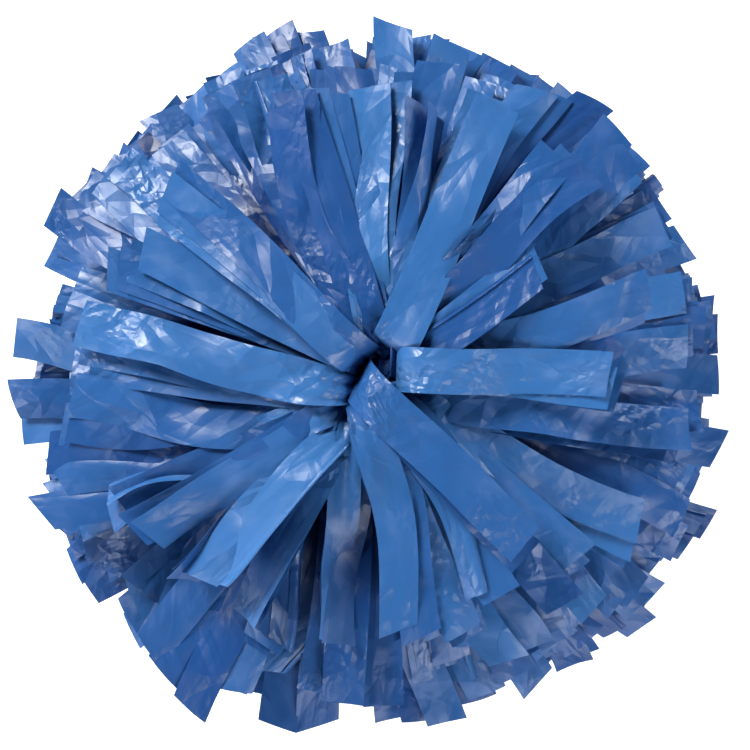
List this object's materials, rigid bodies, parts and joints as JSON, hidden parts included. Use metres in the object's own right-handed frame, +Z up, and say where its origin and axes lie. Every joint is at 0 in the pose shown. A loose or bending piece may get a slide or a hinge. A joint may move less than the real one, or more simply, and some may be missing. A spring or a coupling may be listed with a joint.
{
  "type": "cheer pom pom",
  "caption": "Round fluffy pom pom of glossy plastic film streamers at both ends of a short baton handle that is held in the middle.",
  "frame": {"origin": "on the floor, under the baton's axis", "axes": "+Z up along the baton towards the end that faces the viewer; +X to the viewer's right and +Y to the top of the view when looking straight down"},
  "size_m": [0.338, 0.338, 0.2708],
  "materials": {
    "blue_film": "glossy crinkled thin film, mid blue",
    "grip_plastic": "dull moulded plastic",
    "stop_plastic": "satin moulded plastic",
    "core_plastic": "satin extruded plastic",
    "tie_nylon": "satin natural nylon"
  },
  "bodies": {
    "handle": {"baton_core": "core_plastic", "grip_sleeve": "grip_plastic", "upper_hand_stop": "stop_plastic", "lower_hand_stop": "stop_plastic", "upper_film_neck": "blue_film", "lower_film_neck": "blue_film", "upper_cable_tie": "tie_nylon", "lower_cable_tie": "tie_nylon"},
    "upper_sector_1": {"upper_crown_tuft_1": "blue_film", "upper_shoulder_tuft_1": "blue_film", "upper_skirt_tuft_1": "blue_film"},
    "upper_sector_2": {"upper_crown_tuft_2": "blue_film", "upper_shoulder_tuft_2": "blue_film", "upper_skirt_tuft_2": "blue_film"},
    "upper_sector_3": {"upper_crown_tuft_3": "blue_film", "upper_shoulder_tuft_3": "blue_film", "upper_skirt_tuft_3": "blue_film"},
    "upper_sector_4": {"upper_crown_tuft_4": "blue_film", "upper_shoulder_tuft_4": "blue_film", "upper_skirt_tuft_4": "blue_film"},
    "upper_sector_5": {"upper_crown_tuft_5": "blue_film", "upper_shoulder_tuft_5": "blue_film", "upper_skirt_tuft_5": "blue_film"},
    "upper_sector_6": {"upper_crown_tuft_6": "blue_film", "upper_shoulder_tuft_6": "blue_film", "upper_skirt_tuft_6": "blue_film"},
    "upper_sector_7": {"upper_crown_tuft_7": "blue_film", "upper_shoulder_tuft_7": "blue_film", "upper_skirt_tuft_7": "blue_film"},
    "upper_sector_8": {"upper_crown_tuft_8": "blue_film", "upper_shoulder_tuft_8": "blue_film", "upper_skirt_tuft_8": "blue_film"},
    "lower_sector_1": {"lower_floor_tuft_1": "blue_film", "lower_shoulder_tuft_1": "blue_film", "lower_skirt_tuft_1": "blue_film"},
    "lower_sector_2": {"lower_floor_tuft_2": "blue_film", "lower_shoulder_tuft_2": "blue_film", "lower_skirt_tuft_2": "blue_film"},
    "lower_sector_3": {"lower_floor_tuft_3": "blue_film", "lower_shoulder_tuft_3": "blue_film", "lower_skirt_tuft_3": "blue_film"},
    "lower_sector_4": {"lower_floor_tuft_4": "blue_film", "lower_shoulder_tuft_4": "blue_film", "lower_skirt_tuft_4": "blue_film"},
    "lower_sector_5": {"lower_floor_tuft_5": "blue_film", "lower_shoulder_tuft_5": "blue_film", "lower_skirt_tuft_5": "blue_film"},
    "lower_sector_6": {"lower_floor_tuft_6": "blue_film", "lower_shoulder_tuft_6": "blue_film", "lower_skirt_tuft_6": "blue_film"},
    "lower_sector_7": {"lower_floor_tuft_7": "blue_film", "lower_shoulder_tuft_7": "blue_film", "lower_skirt_tuft_7": "blue_film"},
    "lower_sector_8": {"lower_floor_tuft_8": "blue_film", "lower_shoulder_tuft_8": "blue_film", "lower_skirt_tuft_8": "blue_film"}
  },
  "joints": [
    {"name": "upper_sector_1_flex", "type": "hinge", "parent": "handle", "child": "upper_sector_1", "pos_m": [0.0097, 0, 0.2064], "axis": [0, 1, 0], "range_deg": [-6, 8], "stiffness_Nm_per_rad": 1},
    {"name": "upper_sector_2_flex", "type": "hinge", "parent": "handle", "child": "upper_sector_2", "pos_m": [0.00686, 0.00686, 0.2064], "axis": [-0.7071, 0.7071, 0], "range_deg": [-6, 8], "stiffness_Nm_per_rad": 1},
    {"name": "upper_sector_3_flex", "type": "hinge", "parent": "handle", "child": "upper_sector_3", "pos_m": [0, 0.0097, 0.2064], "axis": [-1, 0, 0], "range_deg": [-6, 8], "stiffness_Nm_per_rad": 1},
    {"name": "upper_sector_4_flex", "type": "hinge", "parent": "handle", "child": "upper_sector_4", "pos_m": [-0.00686, 0.00686, 0.2064], "axis": [-0.7071, -0.7071, 0], "range_deg": [-6, 8], "stiffness_Nm_per_rad": 1},
    {"name": "upper_sector_5_flex", "type": "hinge", "parent": "handle", "child": "upper_sector_5", "pos_m": [-0.0097, 0, 0.2064], "axis": [0, -1, 0], "range_deg": [-6, 8], "stiffness_Nm_per_rad": 1},
    {"name": "upper_sector_6_flex", "type": "hinge", "parent": "handle", "child": "upper_sector_6", "pos_m": [-0.00686, -0.00686, 0.2064], "axis": [0.7071, -0.7071, 0], "range_deg": [-6, 8], "stiffness_Nm_per_rad": 1},
    {"name": "upper_sector_7_flex", "type": "hinge", "parent": "handle", "child": "upper_sector_7", "pos_m": [0, -0.0097, 0.2064], "axis": [1, 0, 0], "range_deg": [-6, 8], "stiffness_Nm_per_rad": 1},
    {"name": "upper_sector_8_flex", "type": "hinge", "parent": "handle", "child": "upper_sector_8", "pos_m": [0.00686, -0.00686, 0.2064], "axis": [0.7071, 0.7071, 0], "range_deg": [-6, 8], "stiffness_Nm_per_rad": 1},
    {"name": "lower_sector_1_flex", "type": "hinge", "parent": "handle", "child": "lower_sector_1", "pos_m": [0.0097, 0, 0.0586], "axis": [0, -1, 0], "range_deg": [-6, 8], "stiffness_Nm_per_rad": 1},
    {"name": "lower_sector_2_flex", "type": "hinge", "parent": "handle", "child": "lower_sector_2", "pos_m": [0.00686, 0.00686, 0.0586], "axis": [0.7071, -0.7071, 0], "range_deg": [-6, 8], "stiffness_Nm_per_rad": 1},
    {"name": "lower_sector_3_flex", "type": "hinge", "parent": "handle", "child": "lower_sector_3", "pos_m": [0, 0.0097, 0.0586], "axis": [1, 0, 0], "range_deg": [-6, 8], "stiffness_Nm_per_rad": 1},
    {"name": "lower_sector_4_flex", "type": "hinge", "parent": "handle", "child": "lower_sector_4", "pos_m": [-0.00686, 0.00686, 0.0586], "axis": [0.7071, 0.7071, 0], "range_deg": [-6, 8], "stiffness_Nm_per_rad": 1},
    {"name": "lower_sector_5_flex", "type": "hinge", "parent": "handle", "child": "lower_sector_5", "pos_m": [-0.0097, 0, 0.0586], "axis": [0, 1, 0], "range_deg": [-6, 8], "stiffness_Nm_per_rad": 1},
    {"name": "lower_sector_6_flex", "type": "hinge", "parent": "handle", "child": "lower_sector_6", "pos_m": [-0.00686, -0.00686, 0.0586], "axis": [-0.7071, 0.7071, 0], "range_deg": [-6, 8], "stiffness_Nm_per_rad": 1},
    {"name": "lower_sector_7_flex", "type": "hinge", "parent": "handle", "child": "lower_sector_7", "pos_m": [0, -0.0097, 0.0586], "axis": [-1, 0, 0], "range_deg": [-6, 8], "stiffness_Nm_per_rad": 1},
    {"name": "lower_sector_8_flex", "type": "hinge", "parent": "handle", "child": "lower_sector_8", "pos_m": [0.00686, -0.00686, 0.0586], "axis": [-0.7071, -0.7071, 0], "range_deg": [-6, 8], "stiffness_Nm_per_rad": 1}
  ]
}
